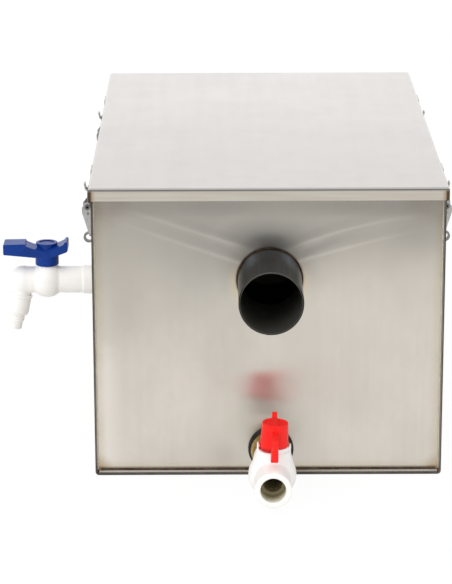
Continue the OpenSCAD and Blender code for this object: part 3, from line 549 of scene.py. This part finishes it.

# %% [markdown]
# ## Steel inside and on the latches
#
# Four more steels differ only in tone, gloss and the size of their streaks, so one loop writes them all:
# the parts inside, the pressed levers and hooks, the wire loops, and the darker bases with their rivets.
# The bases' dark tone is painted shade, as they sit in shadow behind the levers. A lever's finger ring is
# darker than its blade, and a rivet has a hollow end, which shows as a dark dot of painted shade.

# %% Finishes of the parts inside, the latches and their wire
HINGE_OUT, HINGE_Z, HOLLOW_R, RING_TOP = 146.2, 207.0, 1.1, 184.1
RING_DARK, HOLLOW_SHADE = (0.33, 0.325, 0.31), (0.02, 0.019, 0.018)
for name, light, dull, rough, grains in (
    ("inner_steel", (0.62, 0.60, 0.56), (0.52, 0.50, 0.47), 0.34, (8, 8, 120)),
    ("latch_steel", (0.70, 0.69, 0.67), (0.56, 0.55, 0.53), 0.285, (1.5, 1.5, 9)),
    ("latch_wire", (0.40, 0.395, 0.385), (0.24, 0.237, 0.23), 0.285, (1.2, 1.2, 1.2)),
    # Painted shade: the bases are darker as they sit in shadow
    ("latch_dark", (0.34, 0.335, 0.32), (0.20, 0.197, 0.19), 0.3, (1.5, 1.5, 4)),
):
    steel = finish(name)
    where, x, y, z = steel.place()
    streaks = steel.noise(where, grains, detail=3)
    patchy = steel.noise(where, (6, 6, 6), detail=3)
    colour = steel.mix(steel.ease(streaks * 0.6 + patchy * 0.4, 0.34, 0.66), light, dull)
    if name == "latch_steel":
        colour = steel.mix(steel.ease(z, RING_TOP + 1, RING_TOP - 1), colour, RING_DARK)
    # Painted shade in the rivet's hollow end
    if name == "latch_dark":
        from_hinge = steel.length(abs(x) - HINGE_OUT, z - HINGE_Z)
        hollow = steel.ease(from_hinge, HOLLOW_R + 0.15, HOLLOW_R - 0.15)
        colour = steel.mix(hollow, colour, HOLLOW_SHADE)
    steel.cover(
        Base_Color=colour,
        Metallic=1.0,
        Roughness=rough + 0.14 * patchy,
        Normal=steel.bump(streaks * 0.02),
    )
print("steel finishes:", sorted(finishes))

# %% [markdown]
# ## Brass, rubber and plastic
#
# The drain's nipple is turned brass with a dull skin. The washers and the lid's seal are black rubber.
# Both valves are moulded plastic: white bodies, a red cap and a blue lever. Moulded plastic is smooth
# but never perfect, so its colour and gloss drift a little and its skin has a very slight orange peel.
# Sludge stains the drain's mouth, and painted shade darkens it deeper in. The red cap's foot and the
# groove on the blue lever are dark with painted shade.

# %% Brass and rubber
BRASS_BRIGHT, BRASS_DULL = (0.70, 0.52, 0.25), (0.50, 0.36, 0.17)
RUBBER_BLACK, RUBBER_BLOOM = (0.014, 0.014, 0.014), (0.04, 0.039, 0.037)
metal = finish("brass")
where, x, y, z = metal.place()
patchy = metal.noise(where, (5, 5, 5), detail=3)
turned = metal.noise(where, (30, 0.35, 30), detail=2)
metal.cover(
    Base_Color=metal.mix(metal.ease(patchy, 0.35, 0.7), BRASS_BRIGHT, BRASS_DULL),
    Metallic=1.0,
    Roughness=0.3 + 0.2 * patchy,
    Normal=metal.bump(turned * 0.02),
)
rubber = finish("rubber")
where, x, y, z = rubber.place()
bloom = rubber.noise(where, (7, 7, 7), detail=4)
rubber.cover(
    Base_Color=rubber.mix(rubber.ease(bloom, 0.35, 0.75), RUBBER_BLACK, RUBBER_BLOOM),
    Roughness=0.55 + 0.25 * bloom,
    Normal=rubber.bump(rubber.noise(where, (0.5, 0.5, 0.5)) * 0.02),
)
print("brass and rubber:", len(finishes), "finishes so far")

# %% Moulded plastics
VALVE_X, VALVE_Z, VALVE_MOUTH, BORE_R, DRAIN_HOLE_R = 2.2, 20.3, -309.3, 10.0, 13.0
SOCKET_DEPTH, VALVE_Y, VALVE_LEAN, CAP_FOOT, CAP_FOOT_R = 17.0, -272.3, 0.0524, 44.7, 11.6
TAP_STEM_X, TAP_Y, TAP_CAP_Z, CAP_R = -183.5, -102.0, 163.0, 6.0
THIN_SLUDGE, DEEP_SLUDGE_SHADE = (0.88, 0.84, 0.65), (0.36, 0.31, 0.18)
FOOT_RED, GROOVE_SHADE, PEEL_HEIGHT = (0.42, 0.008, 0.012), (0.001, 0.006, 0.04), 0.012


def stained_shaded_bore(plastic, colour, x, y, z):
    """Sludge at the drain valve's mouth, with painted shade that darkens it deeper inside."""
    in_bore = plastic.length(x - VALVE_X, z - VALVE_Z) < BORE_R + 0.2
    deep = plastic.ease(y, VALVE_MOUTH + 0.5, VALVE_MOUTH + SOCKET_DEPTH)
    stain_and_shade = plastic.mix(deep, THIN_SLUDGE, DEEP_SLUDGE_SHADE)
    return plastic.mix(in_bore * plastic.ease(deep, 0, 0.15), colour, stain_and_shade)


def dark_foot(plastic, colour, x, y, z):
    """Shaded foot of the red cap, down where it turns on the valve."""
    from_stem = plastic.length(x - VALVE_X - VALVE_LEAN * (z - VALVE_Z), y - VALVE_Y)
    foot = (from_stem < CAP_FOOT_R) * plastic.ease(z, CAP_FOOT + 0.6, CAP_FOOT - 0.6)
    return plastic.mix(foot * 0.7, colour, FOOT_RED)


def shaded_groove(plastic, colour, x, y, z):
    """Painted shade in the groove round the disc on top of the blue lever."""
    from_stem = plastic.length(x - TAP_STEM_X, y - TAP_Y)
    groove = plastic.bell((from_stem - CAP_R) / 0.5) * plastic.ease(z, TAP_CAP_Z - 1, TAP_CAP_Z)
    return plastic.mix(groove * 0.8, colour, GROOVE_SHADE)


for name, clean, tinted, gloss, specular, marked in (
    ("white_plastic", (0.95, 0.935, 0.915), (0.93, 0.91, 0.885), 0.30, 0.3, stained_shaded_bore),
    ("seat_plastic", (0.88, 0.87, 0.83), (0.83, 0.82, 0.77), 0.45, 0.3, stained_shaded_bore),
    ("red_plastic", (0.95, 0.016, 0.011), (0.89, 0.012, 0.009), 0.24, 0.22, dark_foot),
    ("blue_plastic", (0.002, 0.038, 0.255), (0.0018, 0.031, 0.215), 0.22, 0.2, shaded_groove),
):
    plastic = finish(name)
    where, x, y, z = plastic.place()
    drift = plastic.noise(where, (18, 18, 18), detail=3)
    peel = plastic.noise(where, (1.1, 1.1, 1.1), detail=2)
    colour = plastic.mix(plastic.ease(drift, 0.35, 0.7), clean, tinted)
    plastic.cover(
        Base_Color=marked(plastic, colour, x, y, z),
        Roughness=gloss + 0.12 * drift,
        Specular_IOR_Level=specular,
        Normal=plastic.bump(peel * PEEL_HEIGHT),
    )
print("plastics too:", len(finishes), "finishes so far")

# %% [markdown]
# ## Putting the finishes on
#
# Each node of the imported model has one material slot. Assigning fifty finishes one by one would be long,
# but the record names the slot for every node, so most finishes go on by that name. The plates, the shell
# and the latches' bases take their own kind of steel.

# %% Assign
SLOT_FINISH = {"lid_steel": "lid_steel", "pipe_steel": "tube_steel"}
NODE_FINISH = {"shell": "shell_steel", "outlet_panel": "plate_steel", "inlet_panel": "plate_steel"}
# The bases take the darker steel as painted shade; the rivets share it
DARK_LATCH_PARTS = ("latch_base", "latch_rivets")
NODE_FINISH.update({node: "latch_dark" for node in nodes if node.startswith(DARK_LATCH_PARTS)})
slot_of = {part["node"]: part["material_slot"] for part in frame["record"]["subparts"]}


def coat(piece, name):
    """One finish all over a piece."""
    piece.data.materials.clear()
    piece.data.materials.append(finishes[name])


for node, piece in nodes.items():
    slot = slot_of[node]
    coat(piece, NODE_FINISH.get(node) or SLOT_FINISH.get(slot, slot))
print("coated", len(nodes), "nodes")

# %% [markdown]
# ## Weld beads
#
# The end plates sit in the folded shell and are welded along the foot and both sides; each tube has a
# ring of weld. A torch leaves overlapping half-moon ripples. The solids carry a smooth fillet there. A
# bump map would not show from the side, so each bead is a real skin over the fillet: a quarter round
# swept along the corner, whose radius rises and falls with the ripples. The beads along the foot are
# burnt, those round the tubes are black, and those at the sides are bright.

# %% Sweep a rippled quarter round
RIPPLE, RIPPLE_LENGTH, RIPPLE_BOW, STEPS_PER_RIPPLE, BEAD_SIDES = 0.16, 1.5, 0.8, 6, 6
SEAM_BEAD_R, TUBE_BEAD_R, SUNK = 1.3, 1.25, 0.2


def bead_section(radius, corner, first, second, along):
    """Points of one cross-section, in millimetres: the sunk corner, then the rippled arc."""
    points = [corner - SUNK * (first + second)]
    for i in range(BEAD_SIDES + 1):
        turn = pi / 2 * i / BEAD_SIDES
        bow = RIPPLE_BOW * cos(2 * turn - pi / 2)
        ripple = abs(sin(pi * (along + bow) / RIPPLE_LENGTH)) ** 0.6
        points.append(corner + (radius + RIPPLE * ripple) * (cos(turn) * first + sin(turn) * second))
    points[1] -= SUNK * second
    points[-1] -= SUNK * first
    return points


def weld_bead(name, spine, radius, closed, look):
    """Skin through the sections of a spine of (corner, first, second, along)."""
    ring = BEAD_SIDES + 2
    points = [p * MM for station in spine for p in bead_section(radius, *station)]
    count = len(spine)
    faces = []
    for s in range(count if closed else count - 1):
        a, b = s * ring, (s + 1) % count * ring
        faces += [(a + i, a + (i + 1) % ring, b + (i + 1) % ring, b + i) for i in range(ring)]
    if not closed:
        faces += [tuple(range(ring))[::-1], tuple((count - 1) * ring + i for i in range(ring))]
    mesh = bpy.data.meshes.new(name)
    mesh.from_pydata(points, [], faces)
    mesh.shade_smooth()
    bead = bpy.data.objects.new(name, mesh)
    scene.collection.objects.link(bead)
    coat(bead, look)
    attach(bead, "tank")
    return bead


# %% Finishes of the beads
for name, dark, light, soot in (
    ("burnt_weld", (0.075, 0.048, 0.028), (0.14, 0.105, 0.075), (0.04, 0.034, 0.03)),
    ("ring_weld", (0.026, 0.017, 0.009), (0.075, 0.047, 0.025), (0.018, 0.015, 0.012)),
    ("bright_weld", (0.68, 0.64, 0.54), (0.78, 0.74, 0.64), (0.50, 0.46, 0.37)),
):
    steel = finish(name)
    where, x, y, z = steel.place()
    patchy = steel.noise(where, (5, 5, 5), detail=3)
    scale = steel.noise(where, (0.8, 0.8, 0.8), detail=3)
    colour = steel.mix(steel.ease(patchy, 0.35, 0.65), dark, light)
    colour = steel.mix(steel.ease(scale, 0.55, 0.75) * 0.5, colour, soot)
    if name == "bright_weld":
        # Dark next to the shell's edge: the burnt cut edge, and painted shade between the latches and the
        # wall
        colour = steel.mix(steel.ease(PLATE_HALF_W - abs(x), 0.5, 0.2), colour, CUT_EDGE)
    steel.cover(
        Base_Color=colour,
        Metallic=0.6,
        Roughness=0.38 + 0.2 * patchy,
        Normal=steel.bump(scale * 0.05),
    )
print("all finishes:", len(finishes))

# %% Lay the beads
PLATE_Y, SHELL_FOLD = 213.5, 3.0


def straight(start, end, first, second):
    """Spine along a straight seam."""
    length = (end - start).length
    count = round(length / RIPPLE_LENGTH * STEPS_PER_RIPPLE)
    return [(start.lerp(end, i / count), first, second, length * i / count) for i in range(count + 1)]


def round_tube(centre, outward):
    """Spine round a tube, with whole ripples."""
    length = 2 * pi * PIPE_R
    ripples = round(length / RIPPLE_LENGTH)
    count = ripples * STEPS_PER_RIPPLE
    spine = []
    for i in range(count):
        turn = 2 * pi * i / count
        radial = Vector((cos(turn), 0, sin(turn)))
        spine.append((centre + PIPE_R * radial, radial, outward, RIPPLE_LENGTH * ripples * i / count))
    return spine


for end, side, tube in (("outlet", -1, (OUTLET_X, OUTLET_Z)), ("inlet", 1, (0, INLET_Z))):
    y, outward, upward = side * PLATE_Y, Vector((0, side, 0)), Vector((0, 0, 1))
    reach = PLATE_HALF_W - SHELL_FOLD
    foot = straight(Vector((-reach, y, PLATE_FOOT)), Vector((reach, y, PLATE_FOOT)), outward, upward)
    weld_bead(f"{end}_foot_weld", foot, SEAM_BEAD_R, False, "burnt_weld")
    for hand, sign in (("left", -1), ("right", 1)):
        inward = Vector((-sign, 0, 0))
        corner = sign * PLATE_HALF_W
        seam = straight(Vector((corner, y, SHELL_FOLD)), Vector((corner, y, RIM - 0.5)), inward, outward)
        weld_bead(f"{end}_{hand}_weld", seam, SEAM_BEAD_R, False, "bright_weld")
    ring = round_tube(Vector((tube[0], y, tube[1])), outward)
    bead = weld_bead(f"{end}_tube_weld", ring, TUBE_BEAD_R, True, "ring_weld")
    print(end, "tube bead:", len(bead.data.polygons), "faces")

# %% [markdown]
# ## The dents in the outlet plate
#
# As the weld round the outlet cooled, it shrank and pulled the thin plate into two creases on each side,
# which spread like a moustache and fade out. At each one the sheet steps out sharply and comes back slowly
# above it, like a pleat. The rest of the plate is a little wavy, as any thin sheet is. A bump could fake
# it, but these dents are a real shape, so a fine grid is laid on the plate, a hair in front of it, and
# each of its points is pushed out by the sum of the pleats and the waves. The grid's texture space is
# given, so that its scratches spread the light sideways, as on the plate.

# %% Height of the dents at a point of the plate
SKIN_OFF, BULGE, WAVE, GRID_STEP = 0.03, 0.12, 0.3, 0.9
PLEAT, STEP_HALF, PLEAT_BACK = 0.045, 1.5, 10.0
# Height over the tube's axis at its middle, slope and bow of each crease
CREASES = {
    "left": ((19.6, 0.335, 0.0), (5.3, 0.35, 0.0)),
    "right": ((18.4, 0.46, 0.0015), (8.0, 0.32, 0.0004)),
}


def eased(value, start, end):
    """0 at start, 1 at end, smooth between and flat beyond."""
    t = min(max((value - start) / (end - start), 0.0), 1.0)
    return t * t * (3 - 2 * t)


def bell(off):
    """Bell curve: 1 in the middle."""
    return e ** (-off * off)


def pleat(off):
    """Sheet that steps out sharply across a crease and comes back slowly above it."""
    return eased(off, -STEP_HALF, STEP_HALF) * (1 - eased(off, 0, PLEAT_BACK))


def dent(px, pz):
    """Height over the plate in millimetres, none along its seams."""
    side, rise = px - OUTLET_X, pz - OUTLET_Z
    run = abs(side)
    creases = 0
    for start, slope, bow in CREASES["left" if side < 0 else "right"]:
        creases += pleat(rise - start - slope * run + bow * run * run)
    fade = eased(run, 8, 24) * (1 - eased(run, 55, 135)) * (1 + 0.8 * bell((run - 26) / 18))
    wave = WAVE * (0.5 + 0.5 * noise.noise(Vector((px / 75, 0.4, pz / 105))))
    edge = eased(PLATE_HALF_W - abs(px), 1, 26)
    edge *= eased(pz - PLATE_FOOT, 1, 22) * eased(RIM - pz, 1, 22)
    return SKIN_OFF + edge * (BULGE + wave + PLEAT * fade * creases)


# %% Lay the dented skin on the plate
columns, rows = round(2 * PLATE_HALF_W / GRID_STEP), round((RIM - PLATE_FOOT) / GRID_STEP)
points = []
for row in range(rows + 1):
    for column in range(columns + 1):
        px = PLATE_HALF_W * (2 * column / columns - 1)
        pz = PLATE_FOOT + (RIM - PLATE_FOOT) * row / rows
        points.append((px * MM, -(PLATE_Y + dent(px, pz)) * MM, pz * MM))
faces = []
for row in range(rows):
    for column in range(columns):
        a = row * (columns + 1) + column
        quad = (a, a + 1, a + columns + 2, a + columns + 1)
        mid = sum((Vector(points[i]) for i in quad), Vector()) / 4 / MM
        clear_of_tube = Vector((mid.x - OUTLET_X, mid.z - OUTLET_Z)).length > PIPE_R - 0.1
        clear_of_drain = Vector((mid.x - VALVE_X, mid.z - VALVE_Z)).length > DRAIN_HOLE_R
        if clear_of_tube and clear_of_drain:
            faces.append(quad)
mesh = bpy.data.meshes.new("outlet_plate_skin")
mesh.from_pydata(points, [], faces)
mesh.shade_smooth()
mesh.use_auto_texspace = False
mesh.texspace_location, mesh.texspace_size = (0, -1, 0), (10, 0.1, 10)
skin = bpy.data.objects.new("outlet_plate_skin", mesh)
scene.collection.objects.link(skin)
coat(skin, "plate_steel")
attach(skin, "tank")
print("dented skin:", len(faces), "faces")

# %% [markdown]
# ## Moulded valve bodies and handles
#
# Plastic comes out of a mould with every edge a little round and a small fillet wherever two shapes
# meet. The solids have sharp joins. Bevels by hand would take long on these shapes, so each part's mesh
# is copied, remeshed in small voxels and relaxed, which rounds edges and joins alike. The copy stands for
# the solid and turns with the same body. The red blade also gets its draft: a slight taper, by which a
# moulding leaves its mould.

# %% Round a solid's edges
def moulded(node, body, voxel_mm, rounds, shape=None):
    """Soft-edged copy of a node that stands for it; shape may move its points, in millimetres."""
    rough = bpy.data.objects.new(node + "_rough", nodes[node].data.copy())
    scene.collection.objects.link(rough)
    remesh = rough.modifiers.new("voxels", "REMESH")
    remesh.mode, remesh.voxel_size = "VOXEL", voxel_mm * MM
    relax = rough.modifiers.new("relax", "SMOOTH")
    relax.factor, relax.iterations = 0.5, rounds
    view = bpy.context.evaluated_depsgraph_get()
    mesh = bpy.data.meshes.new_from_object(rough.evaluated_get(view))
    bpy.data.objects.remove(rough)
    for vertex in mesh.vertices if shape else ():
        vertex.co = shape(vertex.co / MM) * MM
    mesh.shade_smooth()
    piece = bpy.data.objects.new(node + "_moulded", mesh)
    scene.collection.objects.link(piece)
    coat(piece, slot_of[node])
    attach(piece, body)
    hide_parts(node)
    print(piece.name, len(mesh.polygons), "faces")
    return piece


# %% Dress the mouldings
BLADE_LOW, BLADE_TOP, BLADE_LOW_SWELL, BLADE_TOP_SWELL = 41, 58, 1.4, 0.9
HUB_R, BLADE_FREE = 11, 17


def drafted_lever(p):
    """Widens the lower edge of the red blade and thins its upper edge, away from the hub."""
    middle = VALVE_X + VALVE_LEAN * (p.z - VALVE_Z)
    swell = BLADE_LOW_SWELL + (BLADE_TOP_SWELL - BLADE_LOW_SWELL) * eased(p.z, BLADE_LOW, BLADE_TOP)
    swell = 1 + (swell - 1) * eased(VALVE_Y - p.y, HUB_R, BLADE_FREE)
    return Vector((middle + swell * (p.x - middle), p.y, p.z))


moulded("drain_valve_body", "tank", 0.5, 3)
moulded("drain_handle", "drain_turn", 0.4, 5, drafted_lever)
moulded("tap_body", "tank", 0.55, 6)
moulded("tap_handle", "tap_turn", 0.4, 5)
moulded("tap_spout_nut", "tank", 0.35, 3)
moulded("tap_nozzle", "tank", 0.35, 2)
